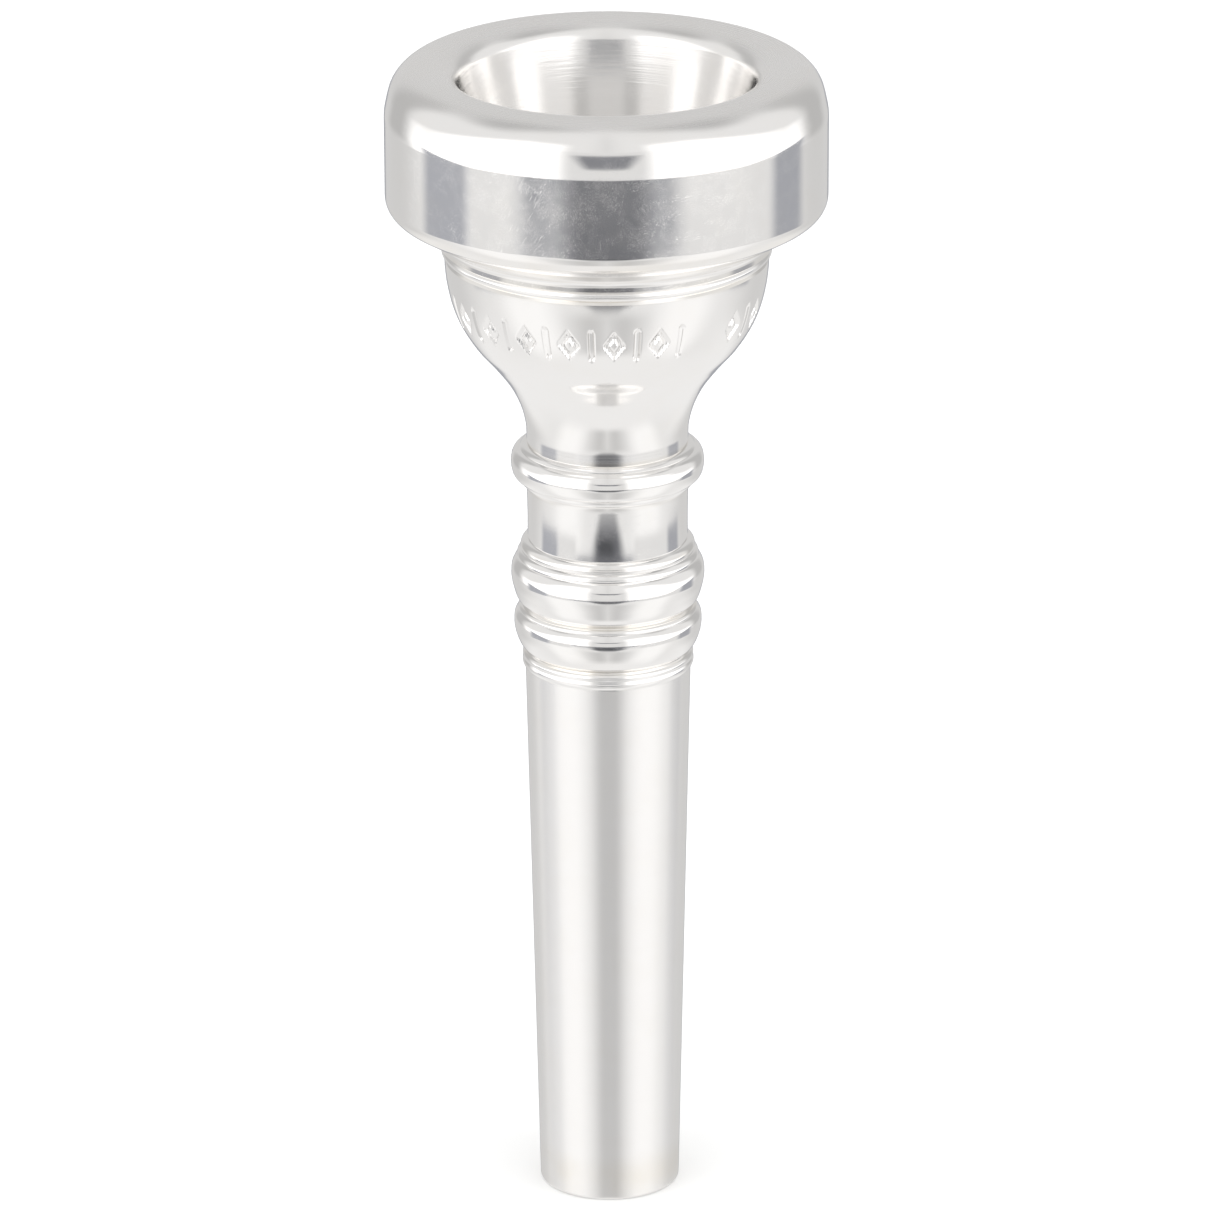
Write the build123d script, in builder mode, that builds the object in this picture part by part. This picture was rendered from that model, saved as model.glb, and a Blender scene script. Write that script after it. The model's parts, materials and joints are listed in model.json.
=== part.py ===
from build123d import *

import math
import os

# Take-apart brass mouthpiece: rim, cup and backbore, all turned about +Z.
# Millimetres. Z = 0 is the small end of the shank and +Z points towards the rim.
# A point of an outline is (radius, height).

# ---------------------------------------------------------------- driving sizes
# rim, from the band outside to the bite inside
rim_r = 13.5              # outside radius of the flat band
rim_band_bottom = 65.2    # where the band starts to round under
rim_band_top = 70.1       # where the band starts to round over
rim_shoulder_r = 3.2      # soft rounding at the top of the band
rim_shoulder_turn = 11.0  # degrees it turns through
rim_facet_r = 15.0        # almost a cone above the shoulder
rim_facet_turn = 3.5      # degrees
rim_edge_r = 2.2          # tighter rounding up to the crest
rim_face_r = 2.9          # gentle fall from the crest to the bite
rim_face_turn = 33.0      # degrees
bite_r = 1.1              # inner edge rounding
bite_wall_tilt = 12.0     # degrees the cup wall leans from upright under the bite
rim_under_r = 1.2         # rounding under the band
rim_under_slope = 30.0    # degrees of the underside from level
collar_r = 10.2           # plain collar under the rim's flange
collar_fillet_r = 0.45    # where the collar meets the underside
seam_rim_z = 61.95        # joint line between rim and cup

# screwed joints, made as plain spigots in plain sockets
fit_gap = 0.05            # clearance all round
spigot_r = 9.2            # top of the cup, in the rim
spigot_top = 66.6         # the rim's shoulder rests on it, so the cup wall runs on
stem_r = 3.6              # foot of the cup, in the backbore
stem_bottom = 43.5
stem_end_gap = 0.1        # between the stem and the bottom of its socket
corner_cut = 0.12         # small chamfer that breaks a sharp corner
spigot_cut = 0.2          # chamfer at the leading corner of a spigot

# cup
ring_r = 10.1             # thin ring at the top of the cup
ring_bottom = 61.42
ring_groove_r = 9.8       # shallow groove between the ring and the bowl
bowl_top = (9.92, 61.15)
bowl_points = [(9.79, 59.7), (9.17, 57.47), (8.16, 55.75), (7.03, 54.43), (5.87, 52.83), (5.22, 51.33)]
neck_r = 4.98
neck_top = 49.9
seam_neck_z = 49.16       # joint line between cup and backbore
throat_r = 2.05
throat_top = 48.6
air_points = [(2.75, 51.6), (4.35, 55.2), (5.85, 59.0), (7.0, 62.8)]  # cup wall, throat to joint

# ornament pressed round the bowl
stamp_depth = 0.17
stamp_mid_z = 58.4
stamp_tall = 2.1
stamp_stroke = 0.36       # width of a pressed line
lozenge_half = (0.66, 0.95)  # half width and half height of a lozenge
stamp_pitch = 8.4         # degrees from one mark to the next
front = -90.0             # degrees, the side with the long row of marks
long_row = (front - 73.0, 13)  # first angle and count
short_row = (front + 53.3, 3)

# beaded barrel, top to bottom: a ring is where it starts, its fullest point and where it ends
bead_1_rings = [
    ((4.98, 49.16), (5.24, 49.07), (5.40, 48.90)),
    ((5.40, 48.86), (5.70, 48.72), (5.86, 48.46)),
    ((5.89, 48.40), (5.95, 47.92), (5.88, 47.46)),
]
bead_1_under = [(5.86, 47.40), (5.72, 47.14), (5.46, 46.98)]
cove_top, cove_mid, cove_foot = (5.38, 46.95), (5.28, 46.68), (5.10, 46.52)
waist_fillet_mid = (5.00, 46.41)
waist_top, waist_mid, waist_bottom = (4.98, 46.28), (4.94, 44.4), (4.95, 42.97)
bead_2_rings = [
    (waist_bottom, (5.26, 42.80), (5.38, 42.36)),
    ((5.36, 42.28), (5.54, 42.12), (5.61, 41.84)),
]
bead_2 = [(5.57, 41.78), (5.86, 41.40), (5.97, 40.74), (5.86, 39.95), (5.34, 38.86)]
valley_1 = (5.30, 38.76)
bead_3_rings = [((5.34, 38.70), (5.48, 38.60), (5.54, 38.42))]
bead_3 = [(5.52, 38.37), (5.73, 38.10), (5.80, 37.58), (5.68, 36.80), (5.14, 35.86)]
valley_2 = (5.09, 35.77)
foot_rings = [
    ((5.12, 35.70), (5.26, 35.55), (5.25, 35.27)),
    ((5.25, 35.21), (5.30, 34.95), (5.18, 34.68)),
]
step_cut = 0.06           # tiny step that makes a crisp turned line

# shank and bore
foot_ring_bottom = 34.68
shank_top_r = 5.12
shank_end_r = 4.37
shank_edge_r = 0.25
bore_top_r = 2.1
bore_mid = (2.82, 21.0)
bore_end_r = 3.45

# ---------------------------------------------------------------- worked-out sizes
socket_r = spigot_r + fit_gap
stem_socket_r = stem_r + fit_gap
stem_socket_bottom = stem_bottom - stem_end_gap


def on_arc(centre, radius, degrees):
    """Point on a circle in the (radius, height) half-plane."""
    a = math.radians(degrees)
    return (centre[0] + radius * math.cos(a), centre[1] + radius * math.sin(a))


# The rim's top is five arcs that meet tangentially: shoulder, facet, edge, face and bite.
facet_turned = rim_shoulder_turn + rim_facet_turn
shoulder_c = (rim_r - rim_shoulder_r, rim_band_top)
shoulder_end = on_arc(shoulder_c, rim_shoulder_r, rim_shoulder_turn)
facet_c = on_arc(shoulder_c, rim_shoulder_r - rim_facet_r, rim_shoulder_turn)
facet_end = on_arc(facet_c, rim_facet_r, facet_turned)
edge_c = on_arc(facet_c, rim_facet_r - rim_edge_r, facet_turned)
crest = on_arc(edge_c, rim_edge_r, 90)
face_c = (crest[0], crest[1] - rim_face_r)
face_end = on_arc(face_c, rim_face_r, 90 + rim_face_turn)
bite_c = on_arc(face_c, rim_face_r - bite_r, 90 + rim_face_turn)
bite_end = on_arc(bite_c, bite_r, 180 - bite_wall_tilt)

# The wall falls straight from the bite to the joint, where the cup takes it over.
wall_lean = math.tan(math.radians(bite_wall_tilt))
wall_joint = (bite_end[0] - (bite_end[1] - spigot_top) * wall_lean, spigot_top)


# ---------------------------------------------------------------- rim
under_c = (rim_r - rim_under_r, rim_band_bottom)
under_end = on_arc(under_c, rim_under_r, rim_under_slope - 90)
under_fall = (under_end[0] - collar_r) * math.tan(math.radians(rim_under_slope))
collar_top = (collar_r, under_end[1] - under_fall)

with BuildPart() as rim:
    with BuildSketch(Plane.XZ):
        with BuildLine():
            Polyline(
                wall_joint,
                (socket_r, spigot_top),
                (socket_r, seam_rim_z),
                (collar_r - corner_cut, seam_rim_z),
                (collar_r, seam_rim_z + corner_cut),
                collar_top,
                under_end,
            )
            under_mid = on_arc(under_c, rim_under_r, (rim_under_slope - 90) / 2)
            ThreePointArc(under_end, under_mid, (rim_r, rim_band_bottom))
            Line((rim_r, rim_band_bottom), (rim_r, rim_band_top))
            shoulder_mid = on_arc(shoulder_c, rim_shoulder_r, rim_shoulder_turn / 2)
            ThreePointArc((rim_r, rim_band_top), shoulder_mid, shoulder_end)
            facet_mid = on_arc(facet_c, rim_facet_r, (rim_shoulder_turn + facet_turned) / 2)
            ThreePointArc(shoulder_end, facet_mid, facet_end)
            edge_mid = on_arc(edge_c, rim_edge_r, (facet_turned + 90) / 2)
            ThreePointArc(facet_end, edge_mid, crest)
            face_mid = on_arc(face_c, rim_face_r, 90 + rim_face_turn / 2)
            ThreePointArc(crest, face_mid, face_end)
            bite_mid = on_arc(bite_c, bite_r, (270 + rim_face_turn - bite_wall_tilt) / 2)
            ThreePointArc(face_end, bite_mid, bite_end)
            Line(bite_end, wall_joint)
        make_face()
    revolve(axis=Axis.Z)
    collar_corner = rim.edges().filter_by(GeomType.CIRCLE).sort_by(
        lambda e: abs(e.radius - collar_r) + abs(e.center().Z - collar_top[1]))[0]
    fillet(collar_corner, collar_fillet_r)
rim.part.label = "rim"


# ---------------------------------------------------------------- ornament
def bowl_curve(inset=0.0):
    """Outside line of the bowl from its top to the neck, moved inwards by inset."""
    points = [bowl_top, *bowl_points, (neck_r, neck_top)]
    return Spline(*[(r - inset, z) for r, z in points], tangents=[(-0.03, -1), (0, -1)])


def stamp_mark(angle, kind):
    """One upright bar or one lozenge outline, as a prism that crosses the bowl's wall."""
    out = Vector(math.cos(math.radians(angle)), math.sin(math.radians(angle)), 0)
    side = Vector(-out.Y, out.X, 0)
    inside_wall = 8.0
    face = Plane(origin=out * inside_wall + Vector(0, 0, stamp_mid_z), x_dir=side, z_dir=out)
    with BuildPart() as mark:
        with BuildSketch(face):
            if kind == "bar":
                SlotOverall(stamp_tall, stamp_stroke, rotation=90)
            else:
                half_w, half_h = lozenge_half
                with BuildLine():
                    Polyline((-half_w, 0), (0, -half_h), (half_w, 0), (0, half_h), close=True)
                make_face()
                offset(amount=-stamp_stroke * 0.8, kind=Kind.INTERSECTION, mode=Mode.SUBTRACT)
        extrude(amount=bowl_top[0] - inside_wall + 1)
    return mark.part


# What lies outside the bowl once it is pressed in by the depth of the stamp.
clear_r = bowl_top[0] + 1.5
with BuildPart() as stamp_skin:
    with BuildSketch(Plane.XZ):
        with BuildLine():
            pressed = bowl_curve(stamp_depth)
            Polyline(pressed @ 0, (clear_r, bowl_top[1]), (clear_r, neck_top), pressed @ 1)
        make_face()
    revolve(axis=Axis.Z)

marks = []
for (first, count), kinds in ((long_row, ("bar", "lozenge")), (short_row, ("lozenge", "bar"))):
    for n in range(count):
        marks.append(stamp_mark(first + n * stamp_pitch, kinds[n % 2]))


# ---------------------------------------------------------------- cup
with BuildPart() as cup:
    with BuildSketch(Plane.XZ):
        with BuildLine():
            Line((throat_r, stem_bottom), (throat_r, throat_top))
            Spline(
                (throat_r, throat_top),
                *air_points,
                wall_joint,
                tangents=[(0, 1), (wall_lean, 1)],
            )
            Polyline(
                wall_joint,
                (spigot_r - spigot_cut, spigot_top),
                (spigot_r, spigot_top - spigot_cut),
                (spigot_r, seam_rim_z),
                (ring_r - corner_cut, seam_rim_z),
            )
            ThreePointArc(
                (ring_r - corner_cut, seam_rim_z),
                (ring_r, (seam_rim_z + ring_bottom) / 2),
                (ring_r - corner_cut, ring_bottom),
            )
            Polyline(
                (ring_r - corner_cut, ring_bottom), (ring_groove_r, ring_bottom - step_cut), bowl_top)
            bowl_curve()
            Polyline(
                (neck_r, neck_top),
                (neck_r, seam_neck_z),
                (stem_r, seam_neck_z),
                (stem_r, stem_bottom + spigot_cut),
                (stem_r - spigot_cut, stem_bottom),
                (throat_r, stem_bottom),
            )
        make_face()
    revolve(axis=Axis.Z)
    for mark in marks:
        add(stamp_skin.part & mark, mode=Mode.SUBTRACT)
cup.part.label = "cup"


# ---------------------------------------------------------------- backbore
def turned_rings(rings, then):
    """Small convex rings one under another, each joined to the next by a tiny step."""
    for n, ring in enumerate(rings):
        ThreePointArc(*ring)
        Line(ring[-1], rings[n + 1][0] if n + 1 < len(rings) else then)


with BuildPart() as backbore:
    with BuildSketch(Plane.XZ):
        with BuildLine():
            # socket for the cup's stem, up to the joint face
            Polyline(
                (bore_top_r, stem_socket_bottom),
                (stem_socket_r, stem_socket_bottom),
                (stem_socket_r, seam_neck_z - corner_cut),
                (stem_socket_r + corner_cut, seam_neck_z),
                (neck_r, seam_neck_z),
            )
            # first bead and the small cove under it
            turned_rings(bead_1_rings, bead_1_under[0])
            ThreePointArc(*bead_1_under)
            Line(bead_1_under[-1], cove_top)
            ThreePointArc(cove_top, cove_mid, cove_foot)
            cove_end = (cove_foot[0] - step_cut, cove_foot[1])
            Line(cove_foot, cove_end)
            ThreePointArc(cove_end, waist_fillet_mid, waist_top)
            ThreePointArc(waist_top, waist_mid, waist_bottom)
            # second bead, with two small rings on top
            turned_rings(bead_2_rings, bead_2[0])
            Spline(*bead_2, tangents=[(1, -0.55), (-0.85, -0.6)])
            Line(bead_2[-1], valley_1)
            # third bead, with one small ring on top
            Line(valley_1, bead_3_rings[0][0])
            turned_rings(bead_3_rings, bead_3[0])
            Spline(*bead_3, tangents=[(0.8, -0.6), (-0.8, -0.6)])
            Line(bead_3[-1], valley_2)
            # rings at the top of the shank
            Line(valley_2, foot_rings[0][0])
            turned_rings(foot_rings, (shank_top_r, foot_ring_bottom))
            # tapered shank with a rounded end
            shank_edge = (shank_end_r, shank_edge_r)
            shank_face = (shank_end_r - shank_edge_r, 0)
            Line((shank_top_r, foot_ring_bottom), shank_edge)
            RadiusArc(shank_edge, shank_face, shank_edge_r)
            # bore, widening slowly to the end
            Polyline(shank_face, (bore_end_r + corner_cut, 0), (bore_end_r, corner_cut))
            ThreePointArc((bore_end_r, corner_cut), bore_mid, (bore_top_r, stem_socket_bottom))
        make_face()
    revolve(axis=Axis.Z)
backbore.part.label = "backbore"


# ---------------------------------------------------------------- files
for piece in (rim, cup, backbore):
    export_step(piece.part, f"parts/{piece.part.label}.step")
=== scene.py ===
"""Silver-plated take-apart mouthpiece: rim, cup and backbore, with a small product studio.

Outlines are lists of (radius, height) in millimetres. turned() spins each one about the bore
axis and writes the mesh in metres, in the CAD frame: Z = 0 is the small end of the shank.
"""
import json
import math

import bmesh
import bpy
from mathutils import Matrix, Vector


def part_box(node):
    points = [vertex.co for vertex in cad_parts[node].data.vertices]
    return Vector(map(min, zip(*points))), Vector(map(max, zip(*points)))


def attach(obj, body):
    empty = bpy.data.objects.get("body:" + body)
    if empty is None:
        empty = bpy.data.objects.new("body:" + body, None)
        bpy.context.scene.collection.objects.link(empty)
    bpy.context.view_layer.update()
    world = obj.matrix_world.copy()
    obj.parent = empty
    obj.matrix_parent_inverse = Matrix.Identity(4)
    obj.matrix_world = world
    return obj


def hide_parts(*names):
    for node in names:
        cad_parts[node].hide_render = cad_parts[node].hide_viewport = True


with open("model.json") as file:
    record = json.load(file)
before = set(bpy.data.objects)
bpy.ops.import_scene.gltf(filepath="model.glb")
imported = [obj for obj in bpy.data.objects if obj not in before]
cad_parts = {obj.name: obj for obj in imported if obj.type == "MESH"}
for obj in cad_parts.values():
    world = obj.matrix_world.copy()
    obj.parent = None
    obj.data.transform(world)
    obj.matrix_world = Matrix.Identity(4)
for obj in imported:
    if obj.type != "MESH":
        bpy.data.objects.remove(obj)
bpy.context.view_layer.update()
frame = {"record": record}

MM = 0.001
COLUMNS = 256             # steps round a turned piece
FINE = 4                  # times more steps where the ornament is stamped
SHARP = math.radians(28)  # a sharper turn than this shows as a crease
FRONT = -90.0             # degrees: the side with the long row of marks
STEP = 0.06               # tiny step that makes a crisp turned line

# ---------------------------------------------------------------- sizes from the frame
crest_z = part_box("rim")[1].z / MM
rim_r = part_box("rim")[1].x / MM
seam_rim_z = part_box("rim")[0].z / MM
seam_neck_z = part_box("backbore")[1].z / MM
stem_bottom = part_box("cup")[0].z / MM
cup_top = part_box("cup")[1].z / MM
ring_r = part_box("cup")[1].x / MM

throat_r = frame["record"]["mounts"][0]["dims"]["r_mm"]
neck_r = 4.98
socket_r, spigot_r = 9.25, 9.20
stem_r, stem_socket_r = 3.60, 3.65
stem_socket_bottom = stem_bottom - 0.1
neck_top = 49.9           # where the bowl has become the straight neck
foot_ring_bottom = 34.68
shank_top_r, shank_end_r = 5.12, 4.37


# ---------------------------------------------------------------- outline helpers
def on_arc(centre, radius, degrees):
    a = math.radians(degrees)
    return (centre[0] + radius * math.cos(a), centre[1] + radius * math.sin(a))


def line(a, b, step=0.35):
    """Points from a to b, with one close to each end so that shading stays flat between."""
    length = math.dist(a, b)
    if length < 0.16:
        return [a, b]
    inner = max(1, round((length - 0.08) / step))
    shares = [0.0] + [(0.04 + (length - 0.08) * k / inner) / length for k in range(inner + 1)] + [1.0]
    return [(a[0] + (b[0] - a[0]) * t, a[1] + (b[1] - a[1]) * t) for t in shares]


def arc(centre, radius, start, end, turn=4.0):
    """Points on a circle from one angle to another, in degrees."""
    n = max(2, math.ceil(abs(end - start) / turn))
    return [on_arc(centre, radius, start + (end - start) * k / n) for k in range(n + 1)]


def bow(a, mid, b, turn=6.0):
    """Points on the circle through three points."""
    (ax, ay), (bx, by), (cx, cy) = a, mid, b
    d = 2 * (ax * (by - cy) + bx * (cy - ay) + cx * (ay - by))
    ux = ((ax**2 + ay**2) * (by - cy) + (bx**2 + by**2) * (cy - ay) + (cx**2 + cy**2) * (ay - by)) / d
    uy = ((ax**2 + ay**2) * (cx - bx) + (bx**2 + by**2) * (ax - cx) + (cx**2 + cy**2) * (bx - ax)) / d
    r = math.dist((ux, uy), a)
    start = math.degrees(math.atan2(ay - uy, ax - ux))
    end = math.degrees(math.atan2(cy - uy, cx - ux))
    via = math.degrees(math.atan2(by - uy, bx - ux))
    if (via - start) % 360 <= (end - start) % 360:
        end = start + (end - start) % 360
    else:
        end = start - (start - end) % 360
    return arc((ux, uy), r, start, end, turn)


def curve(points, first, last, step=0.25):
    """A smooth line through points that starts along first and ends along last."""
    n = len(points)
    tangents = []
    for k in range(n):
        if k == 0 or k == n - 1:
            d = first if k == 0 else last
            near = math.dist(points[k], points[1 if k == 0 else n - 2])
            size = math.hypot(*d)
            tangents.append((d[0] / size * near, d[1] / size * near))
            continue
        (px, py), (qx, qy), (rx, ry) = points[k - 1], points[k], points[k + 1]
        before, after = math.dist((px, py), (qx, qy)), math.dist((qx, qy), (rx, ry))
        tx = ((qx - px) / before * after + (rx - qx) / after * before) / (before + after)
        ty = ((qy - py) / before * after + (ry - qy) / after * before) / (before + after)
        tangents.append((tx, ty, before, after))
    out = [points[0]]
    for k in range(n - 1):
        a, b = points[k], points[k + 1]
        span = math.dist(a, b)
        ta = tangents[k][:2] if k == 0 else (tangents[k][0] * span, tangents[k][1] * span)
        tb = tangents[k + 1][:2] if k == n - 2 else (tangents[k + 1][0] * span, tangents[k + 1][1] * span)
        pieces = max(3, round(span / step))
        for j in range(1, pieces + 1):
            t = j / pieces
            h1, h2 = 2 * t**3 - 3 * t**2 + 1, -2 * t**3 + 3 * t**2
            h3, h4 = t**3 - 2 * t**2 + t, t**3 - t**2
            out.append(tuple(h1 * a[i] + h3 * ta[i] + h2 * b[i] + h4 * tb[i] for i in (0, 1)))
    return out


def outline(*runs):
    """One closed list of points from runs that meet end to end."""
    points = []
    for run in runs:
        for p in run:
            if not points or math.dist(p, points[-1]) > 0.004:
                points.append(p)
    if math.dist(points[0], points[-1]) < 0.004:
        points.pop()
    return points


# ---------------------------------------------------------------- surface relief
def smooth(edge_0, edge_1, x):
    t = min(1.0, max(0.0, (x - edge_0) / (edge_1 - edge_0)))
    return t * t * (3 - 2 * t)


def thread(z, angle, low, high, pitch, depth):
    """Depth of a screw thread at a place on a spigot or socket, faded out at both ends."""
    wave = (z / pitch - angle / math.tau) % 1.0
    ramp = 1 - abs(2 * wave - 1)
    fade = smooth(low, low + 0.5, z) * (1 - smooth(high - 0.5, high, z))
    return depth * fade * smooth(0.1, 0.9, ramp)


STAMP_MID, STAMP_TALL, STAMP_DEPTH, STAMP_R = 58.4, 2.1, 0.17, 9.4
STROKE = 0.36             # width of a pressed line
LOZENGE = (0.66, 0.95)    # half width and half height
LOZENGE_SCALE = LOZENGE[0] * LOZENGE[1] / math.hypot(*LOZENGE)
PITCH = 8.4               # degrees from one mark to the next


def row_of_marks(first, count, kinds):
    return [(FRONT + first + PITCH * n, kinds[n % 2]) for n in range(count)]


STAMP_MARKS = row_of_marks(-73.0, 13, ("bar", "lozenge")) + row_of_marks(53.3, 3, ("lozenge", "bar"))


def stamp(z, angle):
    """Depth of the stamped ornament: upright bars and lozenge outlines with soft edges."""
    h = z - STAMP_MID
    if abs(h) > STAMP_TALL:
        return 0.0
    best = 1.0
    for place, kind in STAMP_MARKS:
        s = ((math.degrees(angle) - place + 180) % 360 - 180) * math.pi / 180 * STAMP_R
        if abs(s) > 1.2:
            continue
        if kind == "bar":
            away = math.hypot(s, max(0.0, abs(h) - (STAMP_TALL - STROKE) / 2)) - STROKE / 2
        else:
            from_edge = (abs(s) / LOZENGE[0] + abs(h) / LOZENGE[1] - 1) * LOZENGE_SCALE
            away = abs(from_edge + 0.4 * STROKE) - 0.4 * STROKE
        best = min(best, away)
    return STAMP_DEPTH * (1 - smooth(-0.08, 0.06, best))


# ---------------------------------------------------------------- mesh maker
def turned(name, points, relief=None, fine=lambda r, z: False):
    """A solid of revolution about Z. relief(r, z, angle) gives a change of radius."""
    rows = []
    mesh = bmesh.new()
    for r, z in points:
        count = COLUMNS * FINE if fine(r, z) else COLUMNS
        row = []
        for k in range(count):
            angle = math.tau * k / count
            rr = r + (relief(r, z, angle) if relief else 0.0)
            row.append(mesh.verts.new((rr * math.cos(angle) * MM, rr * math.sin(angle) * MM, z * MM)))
        rows.append(row)
    for k, row in enumerate(rows):
        after = rows[(k + 1) % len(rows)]
        few = min(len(row), len(after))
        a_step, b_step = len(row) // few, len(after) // few
        for j in range(few):
            side_a = [row[(j * a_step + i) % len(row)] for i in range(a_step + 1)]
            side_b = [after[(j * b_step + i) % len(after)] for i in range(b_step + 1)]
            mesh.faces.new(side_a + side_b[::-1])
    bmesh.ops.recalc_face_normals(mesh, faces=mesh.faces)
    data = bpy.data.meshes.new(name)
    mesh.to_mesh(data)
    mesh.free()
    data.shade_smooth()
    data.set_sharp_from_angle(angle=SHARP)
    piece = bpy.data.objects.new(name, data)
    bpy.context.scene.collection.objects.link(piece)
    return piece


# ---------------------------------------------------------------- rim
shoulder_r, shoulder_turn = 3.2, 11.0
facet_r, facet_turned = 15.0, 14.5
edge_r, face_r, face_turn, bite_r, wall_tilt = 2.2, 2.9, 33.0, 1.1, 12.0
shoulder_rise = (shoulder_r - facet_r) * math.sin(math.radians(shoulder_turn))
facet_rise = (facet_r - edge_r) * math.sin(math.radians(facet_turned))
band_top = crest_z - shoulder_rise - facet_rise - edge_r
band_bottom = band_top - 4.9
socket_top = cup_top
shoulder_c = (rim_r - shoulder_r, band_top)
facet_c = on_arc(shoulder_c, shoulder_r - facet_r, shoulder_turn)
edge_c = on_arc(facet_c, facet_r - edge_r, facet_turned)
face_c = (edge_c[0], crest_z - face_r)
bite_c = on_arc(face_c, face_r - bite_r, 90 + face_turn)
bite_end = on_arc(bite_c, bite_r, 180 - wall_tilt)
lean = math.tan(math.radians(wall_tilt))
cup_wall_r = bite_end[0] - (bite_end[1] - socket_top) * lean


def make_rim():
    under_r, under_slope, collar_r, corner_r = 1.2, 30.0, 10.2, 0.45
    under_c = (rim_r - under_r, band_bottom)
    under_a = on_arc(under_c, under_r, under_slope - 90)
    corner_z = under_a[1] - (under_a[0] - collar_r) * math.tan(math.radians(under_slope))
    corner_run = corner_r * math.tan(math.radians((90 - under_slope) / 2))
    corner_c = (collar_r + corner_r, corner_z - corner_run)
    points = outline(
        line((socket_r, socket_top), (socket_r, seam_rim_z + 0.2), 0.1),
        line((socket_r, seam_rim_z + 0.2), (socket_r + 0.15, seam_rim_z)),
        line((socket_r + 0.15, seam_rim_z), (collar_r - 0.12, seam_rim_z)),
        line((collar_r - 0.12, seam_rim_z), (collar_r, seam_rim_z + 0.12)),
        line((collar_r, seam_rim_z + 0.12), (collar_r, corner_c[1])),
        arc(corner_c, corner_r, 180, 90 + under_slope, 10),
        line(on_arc(corner_c, corner_r, 90 + under_slope), under_a),
        arc(under_c, under_r, under_slope - 90, 0),
        line((rim_r, band_bottom), (rim_r, band_top)),
        arc(shoulder_c, shoulder_r, 0, shoulder_turn, 1.5),
        arc(facet_c, facet_r, shoulder_turn, facet_turned, 0.5),
        arc(edge_c, edge_r, facet_turned, 90, 3),
        arc(face_c, face_r, 90, 90 + face_turn, 2),
        arc(bite_c, bite_r, 90 + face_turn, 180 - wall_tilt, 4),
        line(bite_end, (cup_wall_r, socket_top)),
        line((cup_wall_r, socket_top), (socket_r, socket_top)),
    )

    def relief(r, z, angle):
        if abs(r - socket_r) < 0.01:
            return thread(z, angle, seam_rim_z + 0.7, socket_top - 0.5, 0.8, 0.24)
        return 0.0

    return turned("rim_silver", points, relief)


# ---------------------------------------------------------------- cup
def make_cup():
    ring_bottom, groove_r, bowl_top = seam_rim_z - 0.53, 9.8, (9.92, 61.15)
    throat_top = 48.6
    bowl = curve(
        [bowl_top, (9.79, 59.7), (9.17, 57.47), (8.16, 55.75), (7.03, 54.43), (5.87, 52.83),
         (5.22, 51.33), (neck_r, neck_top)],
        first=(-0.03, -1), last=(0, -1), step=0.14)
    wall = curve(
        [(throat_r, throat_top), (2.75, 51.6), (4.35, 55.2), (5.85, 59.0), (7.0, 62.8),
         (cup_wall_r, cup_top)],
        first=(0, 1), last=(lean, 1), step=0.4)
    points = outline(
        line((throat_r, stem_bottom), (throat_r, throat_top), 0.6),
        wall,
        line((cup_wall_r, cup_top), (spigot_r - 0.2, cup_top)),
        line((spigot_r - 0.2, cup_top), (spigot_r, cup_top - 0.2)),
        line((spigot_r, cup_top - 0.2), (spigot_r, seam_rim_z), 0.1),
        line((spigot_r, seam_rim_z), (ring_r - 0.12, seam_rim_z)),
        bow((ring_r - 0.12, seam_rim_z), (ring_r, (seam_rim_z + ring_bottom) / 2),
            (ring_r - 0.12, ring_bottom), 12),
        line((ring_r - 0.12, ring_bottom), (groove_r, ring_bottom - STEP)),
        line((groove_r, ring_bottom - STEP), bowl_top),
        bowl,
        line((neck_r, neck_top), (neck_r, seam_neck_z)),
        line((neck_r, seam_neck_z), (stem_r, seam_neck_z)),
        line((stem_r, seam_neck_z), (stem_r, stem_bottom + 0.2), 0.1),
        line((stem_r, stem_bottom + 0.2), (stem_r - 0.2, stem_bottom)),
        line((stem_r - 0.2, stem_bottom), (throat_r, stem_bottom)),
    )

    def in_stamp(r, z):
        return r > 8.3 and abs(z - STAMP_MID) < STAMP_TALL / 2 + 0.15

    def relief(r, z, angle):
        if in_stamp(r, z):
            return -stamp(z, angle)
        if abs(r - spigot_r) < 0.01:
            return -thread(z, angle, seam_rim_z + 0.9, cup_top - 0.3, 0.8, 0.26)
        if abs(r - stem_r) < 0.01:
            return -thread(z, angle, stem_bottom + 0.4, seam_neck_z - 0.8, 0.6, 0.2)
        return 0.0

    return turned("cup_silver", points, relief, in_stamp)


# ---------------------------------------------------------------- backbore
def rings(*shapes):
    """Small convex rings one under another, each joined to the next by a tiny step."""
    runs = []
    for n, shape in enumerate(shapes):
        runs.append(bow(*shape, 8))
        if n + 1 < len(shapes):
            runs.append(line(shape[-1], shapes[n + 1][0]))
    return [p for run in runs for p in run]


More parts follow.
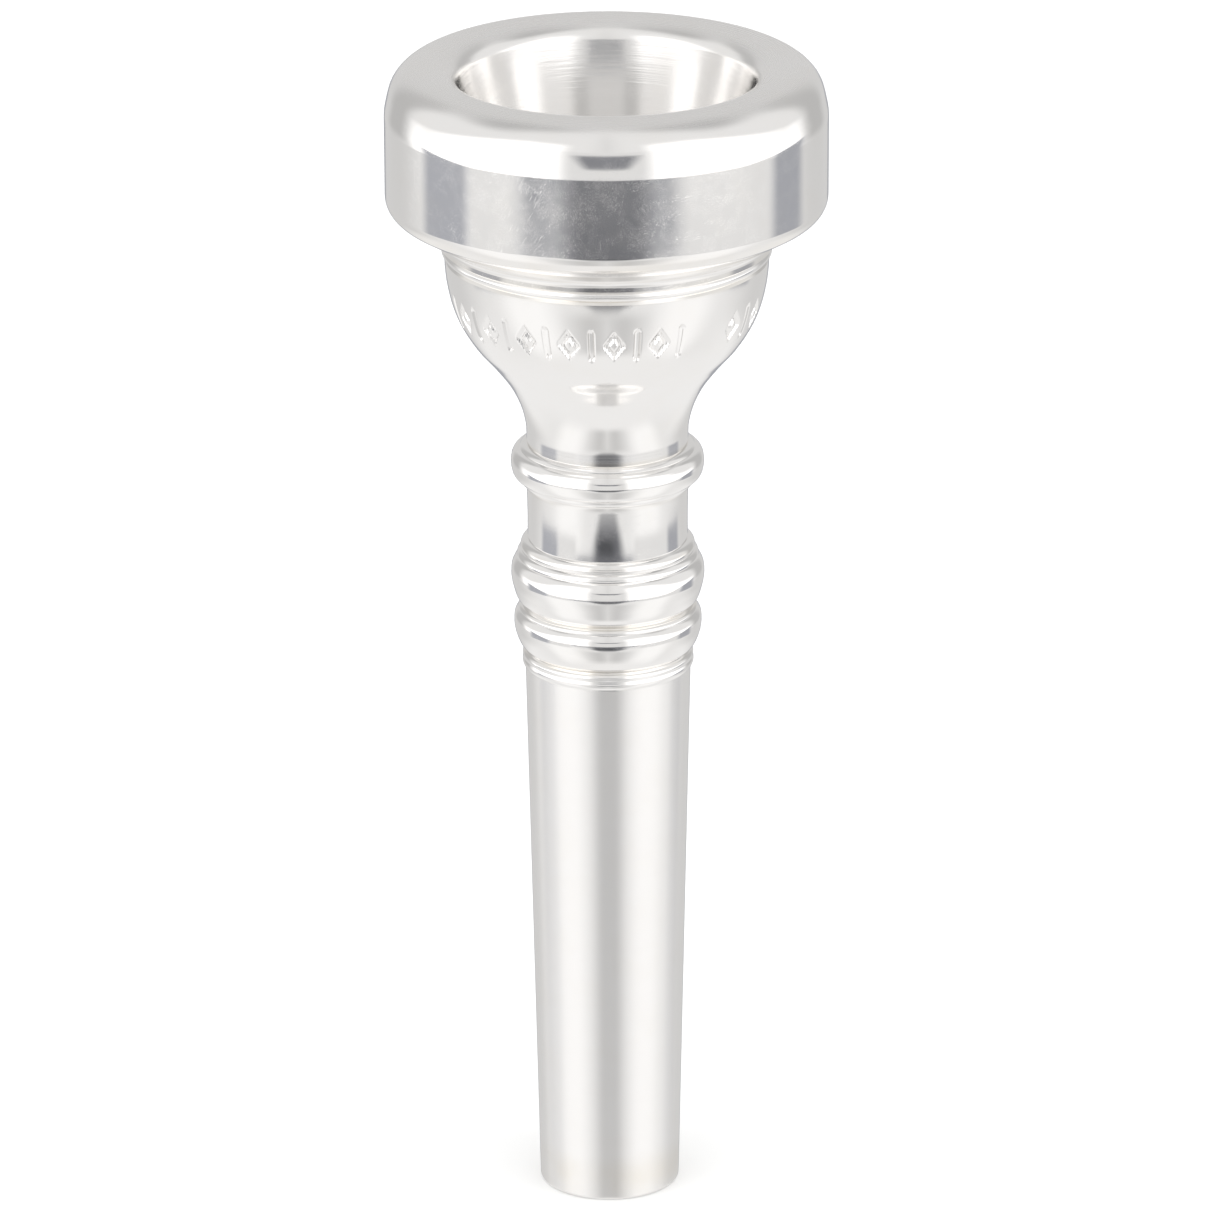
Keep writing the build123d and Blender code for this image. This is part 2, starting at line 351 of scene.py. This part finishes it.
def make_backbore():
    waist_top, waist_mid, waist_bottom = (4.98, 46.28), (4.94, 44.4), (4.95, 42.97)
    bore_top_r, bore_end_r, edge = 2.1, 3.45, 0.25
    points = outline(
        line((bore_top_r, stem_socket_bottom), (stem_socket_r, stem_socket_bottom)),
        line((stem_socket_r, stem_socket_bottom), (stem_socket_r, seam_neck_z - 0.12), 0.1),
        line((stem_socket_r, seam_neck_z - 0.12), (stem_socket_r + 0.12, seam_neck_z)),
        line((stem_socket_r + 0.12, seam_neck_z), (neck_r, seam_neck_z)),
        rings(((neck_r, seam_neck_z), (5.24, 49.07), (5.40, 48.90)),
              ((5.40, 48.86), (5.70, 48.72), (5.86, 48.46)),
              ((5.89, 48.40), (5.95, 47.92), (5.88, 47.46)),
              ((5.86, 47.40), (5.72, 47.14), (5.46, 46.98)),
              ((5.38, 46.95), (5.28, 46.68), (5.10, 46.52)),
              ((5.04, 46.52), (5.00, 46.41), waist_top)),
        bow(waist_top, waist_mid, waist_bottom, 0.2),
        rings((waist_bottom, (5.26, 42.80), (5.38, 42.36)),
              ((5.36, 42.28), (5.54, 42.12), (5.61, 41.84))),
        curve([(5.57, 41.78), (5.86, 41.40), (5.97, 40.74), (5.86, 39.95), (5.34, 38.86)],
              first=(1, -0.55), last=(-0.85, -0.6), step=0.06),
        [(5.30, 38.76)],
        rings(((5.34, 38.70), (5.48, 38.60), (5.54, 38.42))),
        curve([(5.52, 38.37), (5.73, 38.10), (5.80, 37.58), (5.68, 36.80), (5.14, 35.86)],
              first=(0.8, -0.6), last=(-0.8, -0.6), step=0.06),
        [(5.09, 35.77)],
        rings(((5.12, 35.70), (5.26, 35.55), (5.25, 35.27)),
              ((5.25, 35.21), (5.30, 34.95), (5.18, foot_ring_bottom))),
        line((shank_top_r, foot_ring_bottom), (shank_end_r, edge), 0.6),
        arc((shank_end_r - edge, edge), edge, 0, -90, 12),
        line((shank_end_r - edge, 0), (bore_end_r + 0.12, 0)),
        line((bore_end_r + 0.12, 0), (bore_end_r, 0.12)),
        bow((bore_end_r, 0.12), (2.82, 21.0), (bore_top_r, stem_socket_bottom), 0.15),
    )

    def relief(r, z, angle):
        if abs(r - stem_socket_r) < 0.01:
            return thread(z, angle, stem_socket_bottom + 0.5, seam_neck_z - 0.5, 0.6, 0.18)
        return 0.0

    return turned("backbore_silver", points, relief)


# ---------------------------------------------------------------- materials
class Nodes:
    """A few short calls for wiring shader nodes."""

    def __init__(self, name):
        self.material = bpy.data.materials.new(name)
        self.material.use_nodes = True
        self.tree = self.material.node_tree
        self.shader = self.tree.nodes["Principled BSDF"]
        coords = self.tree.nodes.new("ShaderNodeTexCoord")
        self.place = coords.outputs["Object"]
        split = self.tree.nodes.new("ShaderNodeSeparateXYZ")
        self.tree.links.new(self.place, split.inputs[0])
        self.x, self.y, self.z = split.outputs
        self.r = self.math("SQRT", self.math("ADD", self.math("MULTIPLY", self.x, self.x),
                                             self.math("MULTIPLY", self.y, self.y)))

    def put(self, socket, value):
        if hasattr(value, "is_linked"):
            self.tree.links.new(value, socket)
        else:
            socket.default_value = value

    def math(self, kind, a, b=0.0):
        node = self.tree.nodes.new("ShaderNodeMath")
        node.operation = kind
        self.put(node.inputs[0], a)
        self.put(node.inputs[1], b)
        return node.outputs[0]

    def vector(self, a, b, c):
        node = self.tree.nodes.new("ShaderNodeCombineXYZ")
        for socket, value in zip(node.inputs, (a, b, c)):
            self.put(socket, value)
        return node.outputs[0]

    def noise(self, vector, scale=1.0, detail=2.0, rough=0.5):
        node = self.tree.nodes.new("ShaderNodeTexNoise")
        self.put(node.inputs["Vector"], vector)
        node.inputs["Scale"].default_value = scale
        node.inputs["Detail"].default_value = detail
        node.inputs["Roughness"].default_value = rough
        return node.outputs["Fac"]

    def ramp(self, value, low, high, out_low=0.0, out_high=1.0):
        node = self.tree.nodes.new("ShaderNodeMapRange")
        node.interpolation_type = "SMOOTHSTEP"
        for socket, v in zip(node.inputs, (value, low, high, out_low, out_high)):
            self.put(socket, v)
        return node.outputs[0]

    def mix(self, share, a, b):
        node = self.tree.nodes.new("ShaderNodeMix")
        node.data_type = "RGBA"
        self.put(node.inputs["Factor"], share)
        self.put(node.inputs["A"], a)
        self.put(node.inputs["B"], b)
        return node.outputs["Result"]

    def stretched(self, direction, along, across):
        """Object place in a turned frame, so that noise runs in streaks along direction."""
        node = self.tree.nodes.new("ShaderNodeMapping")
        node.vector_type = "TEXTURE"
        self.put(node.inputs["Vector"], self.place)
        node.inputs["Rotation"].default_value = Vector(direction).to_track_quat("X", "Z").to_euler()
        node.inputs["Scale"].default_value = (along * MM, across * MM, across * MM)
        return node.outputs[0]

    def band(self, z, half):
        """1 at a height and 0 beyond half a width either side."""
        away = self.math("ABSOLUTE", self.math("SUBTRACT", self.z, z * MM))
        return self.ramp(away, 0.0, half * MM, 1.0, 0.0)


SILVER = (0.965, 0.955, 0.945, 1)
TARNISH = (0.84, 0.77, 0.64, 1)
FINE_TURNING = 9000       # how close lathe lines lie, as noise per metre across them
FINE_ALONG = 90           # and along them
COARSE_TURNING = 3200
COARSE_ALONG = 160
BUMP_HEIGHT = 0.000001    # metres of relief for a height of 1
LEAST_ROUGH = 0.02
BOWL_ROUGH = 0.09         # what the coarser lines inside the bowl add
BOWL_SLOPE, BOWL_START, BOWL_MOST = 0.4, 16.6, 9.35  # r = slope * z - start, at most, parts it off


def silver(name, gloss, scratch, creases, dull):
    """Plated silver: haze, lathe lines, fine scratches, and tarnish left in the creases.

    creases are (height, half width, amount). dull is (height where it starts, height where it is
    complete, roughness) of the satin part.
    """
    n = Nodes(name)
    around = n.math("ADD", n.x, n.math("MULTIPLY", n.y, 2.0))

    def turning_lines(across, along, detail):
        where = n.vector(n.math("MULTIPLY", n.r, across), n.math("MULTIPLY", n.z, across),
                         n.math("MULTIPLY", around, along))
        return n.noise(where, detail=detail, rough=0.6)

    lathe = turning_lines(FINE_TURNING, FINE_ALONG, 2)
    haze = n.noise(n.place, scale=420, detail=4, rough=0.6)
    grain = n.noise(n.place, scale=5200, detail=2, rough=0.6)
    marks = None
    for direction in ((1, 0.4, 0.15), (-0.6, 1, 0.5), (0.5, -0.2, 1)):
        fine = n.noise(n.stretched(direction, 2.6, 0.02), detail=1)
        broken = n.noise(n.stretched(direction, 2.0, 0.9), detail=1)
        one = n.math("MULTIPLY", n.ramp(fine, 0.66, 0.74), n.ramp(broken, 0.48, 0.62))
        marks = one if marks is None else n.math("MAXIMUM", marks, one)

    satin_from, satin_to, satin_rough = dull
    satin = n.ramp(n.z, satin_from * MM, satin_to * MM)
    polished = n.math("SUBTRACT", 1.0, satin)
    marks = n.math("MULTIPLY", marks, polished)

    # the inside of the bowl is left with coarser turning lines
    limit = n.math("SUBTRACT", n.math("MULTIPLY", n.z, BOWL_SLOPE), BOWL_START * MM)
    limit = n.math("MINIMUM", limit, BOWL_MOST * MM)
    bowl = n.ramp(n.math("SUBTRACT", n.r, limit), -0.1 * MM, 0.1 * MM, 1.0, 0.0)
    coarse = turning_lines(COARSE_TURNING, COARSE_ALONG, 3)

    # roughness
    rough = n.math("ADD", gloss, n.math("MULTIPLY", n.math("SUBTRACT", haze, 0.5), gloss))
    rough = n.math("ADD", rough, n.math("MULTIPLY", marks, scratch * 0.05))
    rough = n.math("ADD", rough, n.math("MULTIPLY", bowl, BOWL_ROUGH))
    streaky = n.math("ADD", satin_rough, n.math("MULTIPLY", n.math("SUBTRACT", lathe, 0.5), 0.10))
    rough = n.math("ADD", n.math("MULTIPLY", rough, polished), n.math("MULTIPLY", streaky, satin))
    n.put(n.shader.inputs["Roughness"], n.math("MAXIMUM", rough, LEAST_ROUGH))

    # colour
    tarnish = n.ramp(haze, 0.42, 0.75, 0.0, 0.05)
    for z, half, amount in creases:
        blotch = n.ramp(n.noise(n.place, scale=260, detail=3), 0.35, 0.65, 0.25, 1.0)
        stain = n.math("MULTIPLY", n.math("MULTIPLY", n.band(z, half), amount), blotch)
        tarnish = n.math("MAXIMUM", tarnish, stain)
    n.put(n.shader.inputs["Base Color"], n.mix(tarnish, SILVER, TARNISH))

    # small relief
    height = n.math("ADD", n.math("MULTIPLY", lathe, n.math("ADD", 0.12, n.math("MULTIPLY", satin, 0.3))),
                    n.math("MULTIPLY", grain, 0.2))
    height = n.math("ADD", height, n.math("MULTIPLY", n.math("MULTIPLY", coarse, bowl), 9.0))
    height = n.math("SUBTRACT", height, n.math("MULTIPLY", marks, scratch))
    bump = n.tree.nodes.new("ShaderNodeBump")
    bump.inputs["Strength"].default_value = 1.0
    bump.inputs["Distance"].default_value = BUMP_HEIGHT
    n.put(bump.inputs["Height"], height)
    n.put(n.shader.inputs["Normal"], bump.outputs[0])
    n.shader.inputs["Metallic"].default_value = 1.0
    # turned metal smears a reflection across its lathe lines
    n.shader.inputs["Anisotropic"].default_value = 0.65
    n.shader.inputs["Anisotropic Rotation"].default_value = 0.25
    return n.material


# ---------------------------------------------------------------- the three pieces
def place(piece, node, body, slot, material):
    piece.data.materials.append(material)
    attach(piece, body)
    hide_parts(node)


place(make_rim(), "rim", "rim_body", "rim_silver_plate",
      silver("rim_plate", 0.06, 0.6, [(64.3, 1.1, 0.25), (62.1, 0.5, 0.3)], (71.9, 73.0, 0.27)))
place(make_cup(), "cup", "cup_body", "cup_silver_plate",
      silver("cup_plate", 0.07, 0.4, [(61.3, 0.35, 0.3), (49.25, 0.3, 0.3)], (50.6, 50.2, 0.10)))
place(make_backbore(), "backbore", "backbore_body", "backbore_silver_plate",
      silver("backbore_plate", 0.05, 0.4,
             [(46.4, 0.3, 0.2), (42.6, 0.3, 0.2), (38.75, 0.3, 0.3), (35.75, 0.3, 0.3), (1.4, 2.2, 0.3)],
             (34.66, 34.54, 0.24)))


# ---------------------------------------------------------------- studio
# The floor and the sky that the camera sees are plain white. A mirror finish needs something to
# reflect, so a large, softly graded ball with patches is seen by reflections alone.
# Bearings are degrees round the object from the front, positive towards +X. Heights are degrees
# above level.
def staged(name, verts, faces, material):
    data = bpy.data.meshes.new(name)
    data.from_pydata(verts, [], faces)
    data.materials.append(material)
    obj = bpy.data.objects.new(name, data)
    bpy.context.scene.collection.objects.link(obj)
    return obj


def only_in_reflections(obj):
    obj.visible_camera = False
    obj.visible_diffuse = False
    obj.visible_shadow = False
    obj.visible_transmission = False
    obj.visible_volume_scatter = False


def warm(level):
    return (level, level * 0.993, level * 0.985, 1)


def cool(level):
    return (level, level * 1.02, level * 1.10, 1)


class Card(Nodes):
    """A material that gives its own light, as strong as its patches say."""

    def __init__(self, name, level):
        super().__init__(name)
        self.tree.nodes.remove(self.shader)
        turn = self.math("ARCTAN2", self.x, self.math("MULTIPLY", self.y, -1.0))
        self.bearing = self.math("MULTIPLY", turn, 180 / math.pi)
        self.side = self.math("ABSOLUTE", self.bearing)
        self.height = self.math("MULTIPLY", self.math("ARCTAN2", self.z, self.r), 180 / math.pi)
        self.level = self.mix(0.0, level, level)

    def inside(self, value, low, high, soft):
        rise = self.ramp(value, low - soft / 2, low + soft / 2)
        fall = self.ramp(value, high - soft / 2, high + soft / 2, 1.0, 0.0)
        return self.math("MULTIPLY", rise, fall)

    def paint(self, share, colour):
        self.level = self.mix(share, self.level, colour)

    def patch(self, low, high, soft, left, right, soft_sides, colour):
        """Repaints the part between two heights and two bearings."""
        up = self.inside(self.height, low, high, soft)
        self.paint(self.math("MULTIPLY", up, self.inside(self.bearing, left, right, soft_sides)), colour)

    def both_sides(self, low, high, soft, near, far, soft_sides, colour):
        """The same patch on the left and on the right, from near to far from the front."""
        up = self.inside(self.height, low, high, soft)
        self.paint(self.math("MULTIPLY", up, self.inside(self.side, near, far, soft_sides)), colour)

    def finish(self):
        emit = self.tree.nodes.new("ShaderNodeEmission")
        self.tree.links.new(self.level, emit.inputs["Color"])
        out = next(n for n in self.tree.nodes if n.type == "OUTPUT_MATERIAL")
        self.tree.links.new(emit.outputs[0], out.inputs[0])
        return self.material


HORIZON = -16.5           # where the pale table ends and the tall softboxes start
NADIR, ZENITH = -95, 95   # a little past straight down and straight up
AHEAD, BEHIND = -1, 181   # a little past straight ahead and straight behind


def studio_card():
    """What the mirror sees: a pale table below, tall softboxes either side, a dark shape in front."""
    card = Card("studio_card", warm(0.64))
    # table, brightest to the left and right of the front, and even close below
    card.both_sides(NADIR, -32, 14, AHEAD, BEHIND, 1, warm(0.88))
    card.both_sides(NADIR, 0, 10, AHEAD, 112, 50, warm(0.84))
    card.both_sides(NADIR, 0, 10, 40, 80, 26, warm(1.0))
    card.both_sides(NADIR, -56, 22, AHEAD, BEHIND, 1, warm(0.88))
    card.both_sides(-58, -27, 12, AHEAD, 26, 30, warm(0.60))
    # ceiling, duller over the left and the right
    card.both_sides(HORIZON, ZENITH, 1.0, AHEAD, 128, 30, warm(0.82))
    card.both_sides(50, 86, 20, 84, 136, 44, warm(0.42))
    # dark strips and a dark shape at the back, so that the sides and the back have contrast too
    card.both_sides(-14, 42, 10, 126, 150, 14, warm(0.50))
    card.both_sides(-32, -9, 9, 166, BEHIND, 6, cool(0.38))
    # tall softboxes, lower towards the back, and a gap between them in front
    card.both_sides(HORIZON, 20, 1.0, AHEAD, 28, 12, warm(0.76))
    lower = card.math("ADD", card.height, card.ramp(card.side, 42, 110, 0.0, 40.0))
    box = card.math("MULTIPLY", card.ramp(lower, 32, 46, 1.0, 0.0), card.inside(card.side, 24, 118, 14))
    box = card.math("MULTIPLY", box, card.ramp(card.height, HORIZON - 0.5, HORIZON + 0.5))
    card.paint(box, warm(1.35))
    # grey strip along the table's far edge, taller towards the back
    lifted = card.math("SUBTRACT", card.height, card.ramp(card.side, 70, 128, 0.0, 9.0))
    strip = card.math("MULTIPLY", card.ramp(card.height, -21.0, -20.0),
                      card.ramp(lifted, HORIZON - 0.4, HORIZON + 0.4, 1.0, 0.0))
    for left, right, colour in ((38, 96, warm(0.76)), (-77, -46, warm(0.76)),
                                (-109, -77, cool(0.42)), (96, 121, cool(0.38))):
        card.paint(card.math("MULTIPLY", strip, card.inside(card.bearing, left, right, 10)), colour)
    # dark shape in front, fading and narrowing downwards
    fade = card.ramp(card.height, -30.5, -20.0)
    fade = card.math("MULTIPLY", fade, fade)
    edge = card.ramp(card.height, HORIZON - 0.4, HORIZON + 0.4, 1.0, 0.0)
    fade = card.math("MULTIPLY", fade, edge)
    shoulder = card.math("MULTIPLY", edge, card.ramp(card.height, -19.0, -17.7))
    card.paint(card.math("MULTIPLY", shoulder, card.inside(card.bearing, -46, 38, 14)), cool(0.30))
    narrow = card.math("DIVIDE", card.bearing, card.ramp(card.height, -25.5, -18.0, 0.45, 1.0))
    card.paint(card.math("MULTIPLY", fade, card.inside(narrow, -21, 22, 16)), cool(0.17))
    card.patch(-20.8, -18.4, 1.6, -14, 10, 14, cool(0.085))
    # small dark shape above it, wider at the top
    spread = card.ramp(card.height, 3, 12, 0.6, 1.0)
    narrow = card.math("DIVIDE", card.side, spread)
    card.paint(card.math("MULTIPLY", card.inside(card.height, 5, 12, 2.5),
                         card.ramp(narrow, 11, 22, 1.0, 0.0)), cool(0.23))
    verts, faces = [], []
    around, up, radius = 48, 24, 40.0
    for j in range(1, up):
        e = math.pi * (j / up - 0.5)
        for k in range(around):
            a = math.tau * k / around
            verts.append((radius * math.cos(a) * math.cos(e), radius * math.sin(a) * math.cos(e),
                          radius * math.sin(e)))
    for j in range(up - 2):
        for k in range(around):
            after = (k + 1) % around
            low, high = j * around, (j + 1) * around
            faces.append((low + k, low + after, high + after, high + k))
    faces.append(tuple(range(around)))
    faces.append(tuple(range((up - 2) * around, (up - 1) * around)))
    ball = staged("studio_card", verts, faces, card.finish())
    only_in_reflections(ball)


def floor():
    n = Nodes("paper_floor")
    mottled = n.noise(n.place, scale=35, detail=3)
    n.put(n.shader.inputs["Base Color"],
          n.mix(mottled, (0.93, 0.93, 0.925, 1), (0.95, 0.95, 0.945, 1)))
    n.shader.inputs["Roughness"].default_value = 0.9
    n.shader.inputs["Specular IOR Level"].default_value = 0.1
    size = 6.0
    corners = [(-size, -size, 0), (size, -size, 0), (size, size, 0), (-size, size, 0)]
    sheet = staged("floor", corners, [(0, 1, 2, 3)], n.material)
    sheet.visible_glossy = False


def soft_light(name, place, target, size_x, size_y, power):
    light = bpy.data.lights.new(name, "AREA")
    light.shape = "RECTANGLE"
    light.size, light.size_y, light.energy = size_x, size_y, power
    obj = bpy.data.objects.new(name, light)
    obj.location = place
    obj.rotation_euler = (Vector(target) - Vector(place)).to_track_quat("-Z", "Y").to_euler()
    obj.visible_glossy = False
    bpy.context.scene.collection.objects.link(obj)


floor()
studio_card()
middle = (0, 0, crest_z * MM / 2)
soft_light("softbox_top", (0, -0.1, 1.0), middle, 1.0, 1.0, 4)
soft_light("softbox_left", (-0.8, -0.5, 0.5), middle, 0.5, 0.8, 1.5)
soft_light("softbox_right", (0.8, -0.4, 0.55), middle, 0.5, 0.8, 1.5)

world = bpy.data.worlds.new("studio")
world.use_nodes = True
world.node_tree.nodes["Background"].inputs["Color"].default_value = (0.98, 0.98, 0.98, 1)
world.node_tree.nodes["Background"].inputs["Strength"].default_value = 0.9
bpy.context.scene.world = world
bpy.context.scene.view_settings.view_transform = "Standard"


# ---------------------------------------------------------------- camera
def make_camera():
    """Half a metre in front of the axis, a little above the rim, looking down at the waist."""
    pitch, roll = math.radians(20.3), math.radians(-0.19)
    data = bpy.data.cameras.new("camera")
    data.sensor_width = 36.0
    data.lens = 255.3
    data.clip_start, data.clip_end = 0.01, 20
    obj = bpy.data.objects.new("camera", data)
    obj.location = (-0.00006, -0.5, 0.2232)
    turn = Matrix.Rotation(math.pi / 2 - pitch, 3, "X") @ Matrix.Rotation(roll, 3, "Z")
    obj.rotation_euler = turn.to_euler()
    bpy.context.scene.collection.objects.link(obj)
    bpy.context.scene.camera = obj


make_camera()
